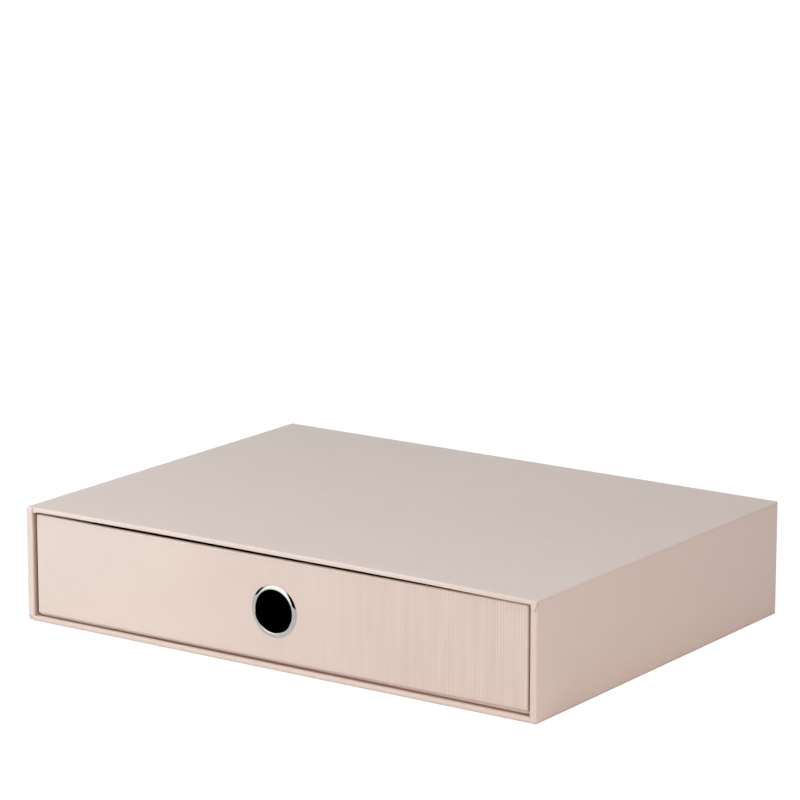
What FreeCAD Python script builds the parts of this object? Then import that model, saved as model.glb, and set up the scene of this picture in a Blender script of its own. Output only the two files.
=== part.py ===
import FreeCAD, Part
import os
from math import acos, asin, ceil, cos, degrees, radians, sin, sqrt
from FreeCAD import Vector

# File box: a paper-covered greyboard casing, open at the front, with one drawer that slides out of it.
# Millimetres. X runs across the mouth, +Y to the back, +Z up; the origin is under the middle of the casing.

# Casing, outside
width = 335.0            # across the mouth
depth = 247.0            # mouth to back
height = 65.0            # at the sides and along the back
mouth_bow = 0.9          # the top springs up this much in the middle of the mouth, and lies flat at the back
roof_flats = 8           # flats across the arch of its inner face

# Sheets and boards
paper = 0.2              # ribbed cover paper
lining = 0.15            # lining paper
tape = 0.1               # gummed paper of the corner stays
side_board = 3.7         # casing's left and right sides
casing_board = 2.1       # casing's top, bottom and back
tray_board = 2.0         # drawer's walls and bottom
face_board = 2.0         # facing on the drawer's front

# Folds and turn-ins of the cover paper
edge_round = 0.7         # rounding of the casing boards under the paper
rim_round = 0.5          # rounding of the tray's boards under the paper
face_round = 1.1         # rounding of the facing's front edges under the paper
mouth_turn = 16.0        # paper folded in round the mouth
back_turn = 15.0         # paper folded over the casing's back
under_turn = 12.0        # paper folded under the tray
face_turn = 11.0         # paper folded in behind the facing
sheet_inset = 2.5        # base and back sheets end this far inside the edges they cover
lining_joint = 0.4       # between a lining's edge and the turn-in it meets

# Drawer in its casing
side_gap = 1.0           # each side of the tray
floor_gap = 0.25         # under the tray
back_gap = 1.0           # behind the tray when it is shut
face_recess = 1.6        # facing behind the mouth's front edge
face_side_gap = 2.15     # facing to the mouth, each side
face_top_gap = 1.3       # facing to the mouth's top at its corners
face_floor_gap = 1.4     # facing to the mouth's floor
rim_drop = 1.2           # tray's rim below the facing's top edge
stay_leg = 14.0          # corner stay's width on each wall
stay_trim = 0.8          # corner stay ends this far below the rim

# Finger ring, a sheet-metal eyelet set through the drawer's front
ring_bore = 24.0         # finger hole, across
ring_flange = 29.2       # flange, across
ring_sheet = 0.45        # metal thickness
ring_roll = 1.1          # outer radius of the roll into the bore
ring_proud = 0.85        # flange's crest in front of the facing
flare_end = 60.0         # the flare stops this many degrees short of pointing outward
bend_step = 30.0         # largest turn between two flats of the ring's bends, in degrees
ring_fit = 0.2           # barrel to the punched hole, all round
ring_offset = 1.5        # hole to the right of the drawer's middle
ring_drop = 0.6          # hole below the facing's middle
washer_across = 29.0     # washer behind the front
washer_sheet = 0.6       # washer thickness
washer_fit = 0.25        # washer's hole round the barrel's flare
washer_clear = 0.45      # washer's edge to the paper folded in over the tray's rim

# Places that follow from them
mouth_y = -depth / 2
back_y = depth / 2 - 2 * paper                       # back face of the boards, under wrap and back sheet
back_inner_y = back_y - casing_board
board_x = width / 2 - paper
inner_x = board_x - side_board
board_low, board_high = 2 * paper, height - paper    # under and over the boards
floor_z = board_low + casing_board
ceiling_z = board_high - casing_board

tray_x = inner_x - paper - side_gap - paper - tape   # tray boards' outer face, left and right
face_y = mouth_y + face_recess
front_y = face_y + 3 * paper + face_board + tape     # tray boards' front face
rear_y = back_inner_y - lining - back_gap - paper - tape
under_z = floor_z + paper + floor_gap
tray_low = under_z + 2 * paper
face_low = floor_z + paper + face_floor_gap
face_high = ceiling_z - paper - face_top_gap
face_x = inner_x - paper - face_side_gap
rim_z = face_high - rim_drop                         # rim of the wrapped tray
tray_high = rim_z - paper
ring_z = (face_low + face_high) / 2 - ring_drop
ring_r = ring_bore / 2
barrel_r = ring_r + ring_sheet
rim_turn = rim_z - ring_z - washer_across / 2 - washer_clear   # paper folded in over the tray's rim
stack_y = front_y + tray_board + lining              # inner face of the tray's front, lined
washer_y = stack_y + washer_sheet


def block(x0, x1, y0, y1, z0, z1):
    """Solid between six planes."""
    return Part.makeBox(x1 - x0, y1 - y0, z1 - z0, Vector(x0, y0, z0))


def edges_on(shape, axis, place):
    """Edges that lie wholly in the plane where the axis (0, 1 or 2) has this place."""
    def inside(edge):
        box = edge.BoundBox
        low, high = (box.XMin, box.YMin, box.ZMin)[axis], (box.XMax, box.YMax, box.ZMax)[axis]
        return abs(low - place) < 1e-3 and abs(high - place) < 1e-3
    return [edge for edge in shape.Edges if inside(edge)]


def edges_along(shape, axis, length):
    """Edges that run at least this length along the axis and stay within 0.01 across it."""
    def runs(edge):
        box = edge.BoundBox
        sizes = [box.XLength, box.YLength, box.ZLength]
        along = sizes.pop(axis)
        return along > length and max(sizes) < 0.01
    return [edge for edge in shape.Edges if runs(edge)]


def rise(y):
    """How far the middle of the top stands above its flat place, at this y."""
    return mouth_bow * (back_inner_y - y) / (back_inner_y - mouth_y)


# Casing

def casing_outline(y, grow, bow):
    """Closed outline of the casing across X at y, its top arched between the side boards."""
    x, low, high = board_x + grow, board_low - grow, board_high + grow
    left, right = Vector(-inner_x, y, high), Vector(inner_x, y, high)
    crown = Vector(0, y, high + bow)
    top = Part.Arc(left, crown, right).toShape() if bow else Part.makeLine(left, right)
    rest = [right, Vector(x, y, high), Vector(x, y, low), Vector(-x, y, low), Vector(-x, y, high), left]
    return Part.Wire([top] + [Part.makeLine(a, b) for a, b in zip(rest, rest[1:])])


def casing_block(grow):
    """The casing without its hollow, grown from the boards' outside, long edges rounded."""
    front = mouth_y + paper - grow
    flat = casing_outline(back_inner_y, grow, 0)
    arched = Part.makeLoft([casing_outline(front, grow, rise(front)), flat], True, True)
    tail = Part.Face(flat).extrude(Vector(0, back_y + grow - back_inner_y, 0))
    body = arched.fuse(tail).removeSplitter()
    side = board_x + grow
    outer = [edge for edge in edges_along(body, 1, 1.0) if abs(abs(edge.CenterOfMass.x) - side) < 0.01]
    return body.makeFillet(edge_round + grow, outer)


def under_roof(drop):
    """Space between the side boards under the top's inner face, lowered by drop: a fan of flats."""
    start, high = mouth_y - casing_board, ceiling_z - drop
    across = [inner_x * (2 * step / roof_flats - 1) for step in range(roof_flats + 1)]
    front = [Vector(x, start, high + rise(start) * (1 - (x / inner_x) ** 2)) for x in across]
    back = [Vector(x, back_inner_y, high) for x in across]
    faces = []
    for a, b, c, d in zip(front, front[1:], back[1:], back):
        faces += [(a, b, c), (a, c, d)] if b.x > 0 else [(a, b, d), (b, c, d)]
    foot = [Vector(point.x, point.y, 0) for point in (front[0], front[-1], back[-1], back[0])]
    faces += [foot, [foot[0], *front, foot[1]], [foot[1], front[-1], back[-1], foot[2]],
              [foot[3], *back, foot[2]], [foot[0], front[0], back[0], foot[3]]]
    return Part.Solid(Part.Shell([Part.Face(Part.makePolygon([*points, points[0]])) for points in faces]))


def hollow(shrink, start, end):
    """Space inside the casing from y start to y end, shrunk from the boards' inner faces."""
    x = inner_x - shrink
    return under_roof(shrink).common(block(-x, x, start, end, floor_z + shrink, height))


def casing_shell(grow):
    """Hollow casing, grown by the paper round the mouth, whose edges are rounded but for its roof's."""
    front = mouth_y + paper - grow
    shell = casing_block(grow).cut(hollow(grow, front - 1, back_inner_y))
    rounded = [edge for edge in edges_on(shell, 1, front)
               if abs(edge.CenterOfMass.z - ceiling_z) > casing_board / 2]
    return shell.makeFillet(edge_round + grow, rounded)


def casing_boards():
    """The five boards, cut from one shell: sides at full height, the others between them."""
    shell = casing_shell(0)
    far = width + depth
    middle = block(-inner_x, inner_x, mouth_y, back_inner_y, -far, far)
    top = block(-inner_x, inner_x, back_inner_y, far, ceiling_z, far)
    bottom = block(-inner_x, inner_x, back_inner_y, far, -far, floor_z)
    half_z = height / 2
    upper, lower = block(-far, far, -far, far, half_z, far), block(-far, far, -far, far, -far, half_z)
    return {
        "casing_left_board": shell.common(block(-far, -inner_x, -far, far, -far, far)),
        "casing_right_board": shell.common(block(inner_x, far, -far, far, -far, far)),
        "casing_top_board": shell.common(middle.fuse(top).common(upper)),
        "casing_bottom_board": shell.common(middle.fuse(bottom).common(lower)),
        "casing_back_board": shell.common(block(-inner_x, inner_x, back_inner_y, far, floor_z, ceiling_z)),
    }


def casing_outer_wrap():
    """Cover paper round the casing: over the mouth's edges and in, and folded over the back."""
    into_board = casing_board / 2
    x, end = inner_x + into_board, back_inner_y + into_board / 2
    past_turn = block(-x, x, mouth_y + mouth_turn, end, floor_z - into_board, board_high - paper)
    x = board_x - back_turn
    window = block(-x, x, back_y - into_board, depth, board_low + back_turn, board_high - back_turn)
    return casing_shell(paper).cut(past_turn).cut(window).cut(casing_shell(0))


def casing_base_sheet():
    """Cover paper under the casing."""
    x = width / 2 - sheet_inset
    return block(-x, x, mouth_y + sheet_inset, depth / 2 - sheet_inset, 0, paper)


def casing_back_sheet():
    """Cover paper over the back's turn-ins."""
    x = width / 2 - sheet_inset
    return block(-x, x, depth / 2 - paper, depth / 2, board_low + sheet_inset, height - sheet_inset)


def casing_lining():
    """Lining paper on the casing's inner faces, from the turn-in to the back."""
    start = mouth_y + mouth_turn + lining_joint
    return hollow(0, start, back_inner_y).cut(hollow(lining, start - 1, back_inner_y - lining))


# Drawer

def tray_shell(bed, skin):
    """Open tray, its outer faces moved out by bed, and all faces but the floor grown by skin."""
    x, front, rear = tray_x + bed + skin, front_y - bed - skin, rear_y + bed + skin
    low, high = tray_low - skin, tray_high + skin
    solid = block(-x, x, front, rear, low, high)
    solid = solid.makeFillet(rim_round + bed + skin, edges_along(solid, 2, 1.0))
    wall = tray_board + skin
    inner = tray_x - wall
    inside = block(-inner, inner, front_y + wall, rear_y - wall, tray_low + tray_board, high + 1)
    tray = solid.cut(inside)
    return tray.makeFillet(rim_round + skin, edges_on(tray, 2, high))


def finger_hole(radius, start, end):
    """Round rod on the finger hole's axis, from y start to y end."""
    return Part.makeCylinder(radius, end - start, Vector(ring_offset, start, ring_z), Vector(0, 1, 0))


def tray_boards():
    """Five tray boards, cut from one shell: side walls at full length, bottom between the walls."""
    shell = tray_shell(0, 0)
    x, front, rear = tray_x - tray_board, front_y + tray_board, rear_y - tray_board
    far = width + depth
    floor = tray_low + tray_board
    punched = finger_hole(barrel_r + ring_fit, front_y - 1, front + 1)
    return {
        "drawer_left_board": shell.common(block(-far, -x, -far, far, -far, far)),
        "drawer_right_board": shell.common(block(x, far, -far, far, -far, far)),
        "drawer_front_board": shell.common(block(-x, x, -far, front, -far, far)).cut(punched),
        "drawer_back_board": shell.common(block(-x, x, rear, far, -far, far)),
        "drawer_bottom_board": shell.common(block(-x, x, front, rear, -far, floor)),
    }


def drawer_corner_stays():
    """Gummed paper folded round the four upright corners of the tray."""
    core = block(-tray_x, tray_x, front_y, rear_y, tray_low, tray_high)
    out = tray_x + tape
    band = block(-out, out, front_y - tape, rear_y + tape, tray_low, tray_high - stay_trim)
    core = core.makeFillet(rim_round, edges_along(core, 2, 1.0))
    band = band.makeFillet(rim_round + tape, edges_along(band, 2, 1.0)).cut(core)
    x, front, rear = tray_x - stay_leg, front_y + stay_leg, rear_y - stay_leg
    between = block(-x, x, -depth, depth, 0, height).fuse(block(-width, width, front, rear, 0, height))
    return band.cut(between)


def drawer_outer_wrap():
    """Cover paper round the tray: turned in over the rim and folded under the bottom."""
    core = tray_shell(tape, 0)
    reach = tray_board / 2
    below_turn = block(-tray_x + reach, tray_x - reach, front_y + reach, rear_y - reach,
                       tray_low + reach, rim_z - rim_turn)
    window = block(-tray_x + under_turn, tray_x - under_turn, front_y + under_turn, rear_y - under_turn,
                   0, tray_low + reach)
    wrap = tray_shell(tape, paper).cut(below_turn).cut(window).cut(core)
    return wrap.cut(finger_hole(barrel_r + ring_fit, face_y, front_y + reach))


def drawer_base_sheet():
    """Cover paper under the tray."""
    x = tray_x - sheet_inset
    return block(-x, x, front_y + sheet_inset, rear_y - sheet_inset, under_z, under_z + paper)


def drawer_floor_lining():
    """Lining paper on the tray's floor."""
    x, floor = tray_x - tray_board, tray_low + tray_board
    return block(-x, x, front_y + tray_board, rear_y - tray_board, floor, floor + lining)


def drawer_wall_lining():
    """Lining paper round the tray's walls, from the floor lining up to the rim's turn-in."""
    x, front, rear = tray_x - tray_board, front_y + tray_board, rear_y - tray_board
    low, high = tray_low + tray_board + lining, rim_z - rim_turn - lining_joint
    band = block(-x, x, front, rear, low, high)
    band = band.cut(block(-x + lining, x - lining, front + lining, rear - lining, low - 1, high + 1))
    return band.cut(finger_hole(barrel_r + ring_fit, front_y, front + 1))


def face_block(skin):
    """Facing on the drawer's front, grown by skin, its front edges rounded."""
    x, front, back = face_x - paper + skin, face_y + paper - skin, face_y + paper + face_board + skin
    solid = block(-x, x, front, back, face_low + paper - skin, face_high - paper + skin)
    return solid.makeFillet(face_round + skin, edges_on(solid, 1, front))


def drawer_face_board():
    """Greyboard facing with the punched hole."""
    return face_block(0).cut(finger_hole(barrel_r + ring_fit, face_y - 1, front_y))


def drawer_face_cover():
    """Cover paper over the facing, folded in behind it."""
    window = block(-face_x + face_turn, face_x - face_turn, face_y + face_board / 2, front_y,
                   face_low + face_turn, face_high - face_turn)
    cover = face_block(paper).cut(window).cut(face_block(0))
    return cover.cut(finger_hole(barrel_r + ring_fit, face_y - 1, front_y))


# Finger ring

def bend(radius, y, size, start, end):
    """Points of the ring's profile on an arc about (radius, y); degrees, 0 outward, 90 to the back."""
    steps = ceil(abs(end - start) / bend_step)
    angles = [radians(start + (end - start) * step / steps) for step in range(steps + 1)]
    x = ring_offset + radius
    return [Vector(x + size * cos(angle), y + size * sin(angle), ring_z) for angle in angles]


def finger_ring():
    """Eyelet: domed flange on the facing, roll into the bore, barrel, and flare set over the washer."""
    roll_r, inside = ring_r + ring_roll, ring_roll - ring_sheet
    roll_y = face_y - ring_proud + ring_roll
    overhang = ring_flange / 2 - roll_r
    dome = (overhang ** 2 + ring_proud ** 2) / (2 * ring_proud)
    dome_y = face_y - ring_proud + dome
    rim_angle = degrees(acos(overhang / dome))
    foot_angle = degrees(asin((dome - ring_proud) / (dome - ring_sheet)))
    flare_y = washer_y - sqrt(inside ** 2 - (roll_r - barrel_r - washer_fit) ** 2)
    outer = (bend(roll_r, flare_y, ring_roll, flare_end, 180) + bend(roll_r, roll_y, ring_roll, 180, 270)
             + bend(roll_r, dome_y, dome, 270, 360 - rim_angle)[1:])
    inner = (bend(roll_r, dome_y, dome - ring_sheet, 360 - foot_angle, 270)
             + bend(roll_r, roll_y, inside, 270, 180)[1:] + bend(roll_r, flare_y, inside, 180, flare_end))
    profile = Part.Face(Part.makePolygon(outer + inner + outer[:1]))
    return profile.revolve(Vector(ring_offset, 0, ring_z), Vector(0, 1, 0), 360)


def finger_ring_washer():
    """Flat washer between the drawer's lining and the ring's flare."""
    disc = finger_hole(washer_across / 2, stack_y, washer_y)
    return disc.cut(finger_hole(barrel_r + washer_fit, stack_y - 1, washer_y + 1))


nodes = {
    **casing_boards(),
    "casing_outer_wrap": casing_outer_wrap(),
    "casing_base_sheet": casing_base_sheet(),
    "casing_back_sheet": casing_back_sheet(),
    "casing_lining": casing_lining(),
    **tray_boards(),
    "drawer_corner_stays": drawer_corner_stays(),
    "drawer_outer_wrap": drawer_outer_wrap(),
    "drawer_base_sheet": drawer_base_sheet(),
    "drawer_floor_lining": drawer_floor_lining(),
    "drawer_wall_lining": drawer_wall_lining(),
    "drawer_face_board": drawer_face_board(),
    "drawer_face_cover": drawer_face_cover(),
    "finger_ring": finger_ring(),
    "finger_ring_washer": finger_ring_washer(),
}

os.makedirs("parts", exist_ok=True)
for name, shape in nodes.items():
    shape.exportStep("parts/" + name + ".step")
    box = shape.optimalBoundingBox(False)
    print(f"{name:22} solids {len(shape.Solids)} valid {shape.isValid()} volume {shape.Volume:9.1f} "
          f"x {box.XMin:7.2f} {box.XMax:7.2f} y {box.YMin:7.2f} {box.YMax:7.2f} "
          f"z {box.ZMin:6.2f} {box.ZMax:6.2f}")
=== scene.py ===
import logging
import math
from dataclasses import dataclass
from enum import Enum
from typing import Callable, Iterable, Mapping, Sequence

import bmesh
import bpy
from mathutils import Matrix, Vector, noise


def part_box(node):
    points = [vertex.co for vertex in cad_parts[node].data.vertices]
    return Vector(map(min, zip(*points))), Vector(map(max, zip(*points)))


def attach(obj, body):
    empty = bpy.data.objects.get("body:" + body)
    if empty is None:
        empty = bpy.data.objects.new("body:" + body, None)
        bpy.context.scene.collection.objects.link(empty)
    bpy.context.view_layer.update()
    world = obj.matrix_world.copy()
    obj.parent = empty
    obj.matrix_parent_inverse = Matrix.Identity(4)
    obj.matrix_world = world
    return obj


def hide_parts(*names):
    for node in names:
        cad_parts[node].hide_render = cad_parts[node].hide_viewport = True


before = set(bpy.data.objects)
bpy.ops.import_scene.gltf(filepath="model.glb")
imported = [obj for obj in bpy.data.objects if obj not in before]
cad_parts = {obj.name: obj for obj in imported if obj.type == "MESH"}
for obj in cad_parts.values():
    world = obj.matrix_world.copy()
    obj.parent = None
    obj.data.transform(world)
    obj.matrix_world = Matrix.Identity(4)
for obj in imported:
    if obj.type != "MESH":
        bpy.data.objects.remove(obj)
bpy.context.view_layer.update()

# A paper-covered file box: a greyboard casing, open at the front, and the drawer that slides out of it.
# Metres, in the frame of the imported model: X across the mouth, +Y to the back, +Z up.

MM = 0.001
RIB_PITCH = 1.58 * MM
log = logging.getLogger("file_box")

Pair = tuple[float, float]
Triple = tuple[float, float, float]
Place = Triple
Colour = tuple[float, float, float, float]
Face = tuple[int, ...]
Node, Socket, Tree = bpy.types.Node, bpy.types.NodeSocket, bpy.types.NodeTree
Material, Piece = bpy.types.Material, bpy.types.Object
BLACK: Colour = (0.0, 0.0, 0.0, 1.0)
WHITE: Colour = (1.0, 1.0, 1.0, 1.0)


# ---------------------------------------------------------------- numbers and places

def held(value: float, low: float = 0.0, high: float = 1.0) -> float:
    """A value held between two limits."""
    return min(high, max(low, value))


def quarter(steps: int) -> list[float]:
    """Angles of a quarter turn in equal steps, with both ends."""
    return [math.pi / 2 * step / steps for step in range(steps + 1)]


def spaced(length: float, fine: float, reach: float, coarse: float) -> list[float]:
    """Fractions along a length, close together near both ends and wide apart between them.

    Args:
        length: the whole length.
        fine: step near the ends.
        reach: how far from each end the fine steps go.
        coarse: step in between.

    Returns:
        Rising fractions from 0 to 1.
    """
    near = [fine * step for step in range(round(reach / fine) + 1)]
    count = max(1, round((length - 2 * reach) / coarse))
    middle = [reach + (length - 2 * reach) * step / count for step in range(1, count)]
    places = near + middle + [length - place for place in reversed(near)]
    return [place / length for place in places]


def through(stations: Sequence[Pair], place: float) -> float:
    """Height at a place on a smooth curve through stations.

    Args:
        stations: (place, height) pairs in rising order of place.
        place: where to read the curve.

    Returns:
        The height, held at the end values outside the stations.
    """
    if place <= stations[0][0]:
        return stations[0][1]
    for index in range(len(stations) - 1):
        (x1, h1), (x2, h2) = stations[index], stations[index + 1]
        if place > x2:
            continue
        x0, h0 = stations[max(index - 1, 0)]
        x3, h3 = stations[min(index + 2, len(stations) - 1)]
        t, span = (place - x1) / (x2 - x1), x2 - x1
        slope1 = (h2 - h0) / (x2 - x0) * span
        slope2 = (h3 - h1) / (x3 - x1) * span
        return (h1 * (2 * t ** 3 - 3 * t ** 2 + 1) + slope1 * (t ** 3 - 2 * t ** 2 + t)
                + h2 * (3 * t ** 2 - 2 * t ** 3) + slope2 * (t ** 3 - t ** 2))
    return stations[-1][1]


def toward(azimuth: float, elevation: float) -> Vector:
    """Unit vector at an azimuth round from the front and an elevation, both in degrees."""
    turn, up = math.radians(azimuth), math.radians(elevation)
    return Vector((math.sin(turn) * math.cos(up), -math.cos(turn) * math.cos(up), math.sin(up)))


# ---------------------------------------------------------------- meshes

def put(name: str, data: bpy.types.ID) -> Piece:
    """Makes an object of some data and puts it in the scene.

    Args:
        name: the object's name.
        data: its mesh, light or camera.

    Returns:
        The new object.
    """
    thing = bpy.data.objects.new(name, data)
    bpy.context.scene.collection.objects.link(thing)
    return thing


def shade(piece: Piece, smooth: bool) -> None:
    """Shades all faces of a piece smooth or flat."""
    piece.data.polygons.foreach_set("use_smooth", [smooth] * len(piece.data.polygons))


def new_piece(name: str, points: Sequence[Place], faces: Sequence[Face],
              **values: Sequence[float]) -> Piece:
    """Makes a smooth-shaded mesh object and puts it in the scene.

    Args:
        name: the piece's name.
        points: vertex places.
        faces: vertex numbers of each face, turning left seen from outside.
        values: numbers stored at each vertex, by attribute name.

    Returns:
        The new object.
    """
    mesh = bpy.data.meshes.new(name)
    mesh.from_pydata([tuple(point) for point in points], [], [tuple(face) for face in faces])
    for label, numbers in values.items():
        mesh.attributes.new(label, "FLOAT", "POINT").data.foreach_set("value", list(numbers))
    mesh.validate()
    piece = put(name, mesh)
    shade(piece, True)
    return piece


def loops_to_faces(loops: int, count: int, closed: bool = True, wrapped: bool = False) -> list[Face]:
    """Faces between rows of vertices that follow each other.

    Args:
        loops: number of rows.
        count: vertices in each row.
        closed: whether each row joins up with its own start.
        wrapped: whether the last row joins the first.

    Returns:
        One face for each cell.
    """
    faces = []
    for row in range(loops if wrapped else loops - 1):
        low, high = row * count, (row + 1) % loops * count
        for place in range(count if closed else count - 1):
            after = (place + 1) % count
            faces.append((low + place, high + place, high + after, low + after))
    return faces


def band(before: list[int], after: list[int]) -> list[Face]:
    """Faces between two closed rows of vertex numbers."""
    return list(zip(before, after, after[1:] + after[:1], before[1:] + before[:1]))


def thicken(piece: Piece, thickness: float) -> None:
    """Gives a sheet its thickness, behind the surface it was drawn with."""
    solid = piece.modifiers.new("thickness", "SOLIDIFY")
    solid.thickness, solid.offset = thickness, -1.0


def settle(piece: Piece) -> None:
    """Applies a piece's modifiers to its mesh.

    Args:
        piece: the piece, which has no modifiers afterwards.
    """
    graph = bpy.context.evaluated_depsgraph_get()
    mesh = bpy.data.meshes.new_from_object(piece.evaluated_get(graph))
    piece.modifiers.clear()
    piece.data = mesh


def face_outward(piece: Piece) -> None:
    """Turns all faces of a closed mesh outward.

    Args:
        piece: the piece.
    """
    mesh = bmesh.new()
    mesh.from_mesh(piece.data)
    bmesh.ops.recalc_face_normals(mesh, faces=mesh.faces)
    mesh.to_mesh(piece.data)
    mesh.free()


# ---------------------------------------------------------------- shader graphs

class Graph:
    """A node tree that is being wired."""

    def __init__(self, tree: Tree) -> None:
        """Starts on an emptied tree."""
        self.tree = tree
        tree.nodes.clear()

    def feed(self, target: Socket, value: object) -> None:
        """Links a socket to the target, or sets a plain value on it.

        Args:
            target: an input.
            value: an output to link, or the value.
        """
        if isinstance(value, Socket):
            self.tree.links.new(value, target)
        else:
            target.default_value = value

    def give(self, node: Node, **values: object) -> Node:
        """Sets a node's properties and feeds its inputs.

        Args:
            node: the node.
            values: properties by their names, and inputs by theirs, which start with a capital
                and have an underscore for a space.

        Returns:
            The node.
        """
        for label, value in values.items():
            if label[0].isupper():
                self.feed(node.inputs[label.replace("_", " ")], value)
            else:
                setattr(node, label, value)
        return node

    def add(self, kind: str, **values: object) -> Node:
        """Adds a node, named without its ShaderNode prefix, and gives it its values."""
        prefix = "" if kind.startswith("NodeGroup") else "ShaderNode"
        return self.give(self.tree.nodes.new(prefix + kind), **values)

    def fill(self, node: Node, *values: object) -> Socket:
        """Feeds a node's inputs in their order.

        Args:
            node: the node.
            values: what its first inputs get.

        Returns:
            The node's first output.
        """
        for target, value in zip(node.inputs, values):
            self.feed(target, value)
        return node.outputs[0]

    def math(self, operation: str, *values: object) -> Socket:
        """Result of a Math node."""
        return self.fill(self.add("Math", operation=operation), *values)

    def line(self, value: object, gain: object, offset: object = 0.0) -> Socket:
        """A value times a gain plus an offset."""
        return self.math("MULTIPLY_ADD", value, gain, offset)

    def noise(self, vector: Socket, scale: object, detail: float = 2.0, roughness: float = 0.5) -> Socket:
        """Value of a noise texture, from 0 to 1."""
        return self.add("TexNoise", Vector=vector, Scale=scale, Detail=detail,
                        Roughness=roughness).outputs["Fac"]

    def stretch(self, vector: Socket, factors: Triple) -> Socket:
        """A vector multiplied by three factors."""
        return self.fill(self.add("VectorMath", operation="MULTIPLY"), vector, factors)

    def split(self, vector: Socket) -> Mapping[str, Socket]:
        """A vector's X, Y and Z."""
        return self.add("SeparateXYZ", Vector=vector).outputs

    def stored(self, name: str) -> Socket:
        """The number that a piece's vertices store under a name."""
        return self.add("Attribute", attribute_name=name).outputs["Fac"]

    def blend(self, factor: object, first: object, second: object, mode: str = "MIX") -> Socket:
        """Mixes two colours.

        Args:
            factor: how much of the second one shows.
            first: a colour.
            second: another.
            mode: how they mix.

        Returns:
            The mixed colour.
        """
        node = self.add("Mix", data_type="RGBA", blend_type=mode)
        for name, value in (("Factor_Float", factor), ("A_Color", first), ("B_Color", second)):
            self.feed(next(socket for socket in node.inputs if socket.identifier == name), value)
        return next(socket for socket in node.outputs if socket.identifier == "Result_Color")

    def relief(self, height: Socket) -> Socket:
        """Normal of a surface with a height in metres."""
        return self.add("Bump", Strength=1.0, Distance=1.0, Height=height).outputs["Normal"]

    def either(self, chooser: Socket, first: Socket, second: Socket) -> Socket:
        """The first shader where the chooser is 0, and the second where it is 1."""
        return self.fill(self.add("MixShader"), chooser, first, second)

    def place(self, builder: Callable[[], Tree], **values: object) -> Mapping[str, Socket]:
        """Places a node group with its own values and gives its outputs."""
        return self.add("Group", node_tree=builder(), **values).outputs


Wiring = Callable[[Graph, Mapping[str, Socket]], dict[str, Socket]]


def group(name: str, inputs: Mapping[str, float | None], wire: Wiring) -> Tree:
    """A shader node group, built on first use and shared after that.

    Args:
        name: the group's name.
        inputs: default by name, or None for a vector.
        wire: fills the tree from its inputs and gives its outputs by name.

    Returns:
        The group's tree.
    """
    if name in bpy.data.node_groups:
        return bpy.data.node_groups[name]
    tree = bpy.data.node_groups.new(name, "ShaderNodeTree")
    for label, default in inputs.items():
        kind = "NodeSocketVector" if default is None else "NodeSocketFloat"
        socket = tree.interface.new_socket(label, in_out="INPUT", socket_type=kind)
        if default is not None:
            socket.default_value = default
    graph = Graph(tree)
    made = wire(graph, graph.add("NodeGroupInput").outputs)
    for label in made:
        tree.interface.new_socket(label, in_out="OUTPUT", socket_type="NodeSocketFloat")
    graph.add("NodeGroupOutput", **made)
    return tree


def pressed_ribs() -> Tree:
    """Fine parallel ribs pressed into the cover stock, a little uneven in spacing and depth.

    Returns:
        The group, with their height and how much of a groove there is.
    """
    drift_scale, patch_scale, patch_swing, least_depth = 18.0, 60.0, 0.6, 0.7

    def wire(graph: Graph, given: Mapping[str, Socket]) -> dict[str, Socket]:
        """Counts a wave along the run and varies its depth.

        Args:
            graph: the group's graph.
            given: the group's inputs.

        Returns:
            The outputs by name.
        """
        turns = graph.math("DIVIDE", given["Run"], given["Pitch"])
        turns = graph.line(graph.noise(given["Vector"], drift_scale), given["Unevenness"], turns)
        rib = graph.line(graph.math("SINE", graph.line(turns, math.tau)), 0.5, 0.5)
        depth = graph.line(graph.noise(given["Vector"], patch_scale, 3.0), patch_swing, least_depth)
        return {"Height": graph.line(rib, depth), "Groove": graph.line(rib, -1.0, 1.0)}

    return group("pressed_ribs", {"Vector": None, "Run": 0.0, "Pitch": RIB_PITCH, "Unevenness": 0.4}, wire)


def paper_fibres() -> Tree:
    """Short felted fibres.

    Returns:
        The group, with their height and sparse lighter flecks.
    """
    lengthwise, crosswise = (1.0, 0.35, 0.6), (0.4, 1.0, 1.3)
    fleck_from, fleck_gain = 0.56, 6.0

    def wire(graph: Graph, given: Mapping[str, Socket]) -> dict[str, Socket]:
        """Lays two drawn-out noises over each other, with flecks where one of them peaks.

        Args:
            graph: the group's graph.
            given: the group's inputs.

        Returns:
            The outputs by name.
        """
        fine = graph.noise(graph.stretch(given["Vector"], lengthwise), given["Scale"], 4.0, 0.65)
        crossed = graph.noise(graph.stretch(given["Vector"], crosswise), given["Scale"], 3.0, 0.6)
        fleck = graph.line(graph.math("SUBTRACT", fine, fleck_from), fleck_gain)
        return {"Height": graph.line(graph.math("ADD", fine, crossed), 0.5),
                "Fleck": graph.fill(graph.add("Clamp"), fleck)}

    return group("paper_fibres", {"Vector": None, "Scale": 1400.0}, wire)


def soft_mottle() -> Tree:
    """Broad, faint unevenness of tone, as glue and handling leave on paper.

    Returns:
        The group, with a tone round 1.
    """
    broad_scale, cloud_scale, broad_share = 9.0, 45.0, 0.6

    def wire(graph: Graph, given: Mapping[str, Socket]) -> dict[str, Socket]:
        """Adds a broad and a cloudy noise and centres them.

        Args:
            graph: the group's graph.
            given: the group's inputs.

        Returns:
            The outputs by name.
        """
        broad = graph.line(graph.noise(given["Vector"], broad_scale), broad_share)
        both = graph.line(graph.noise(given["Vector"], cloud_scale, 3.0), 1 - broad_share, broad)
        return {"Tone": graph.line(graph.math("SUBTRACT", both, 0.5), given["Amount"], 1.0)}

    return group("soft_mottle", {"Vector": None, "Amount": 0.1}, wire)


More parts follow.
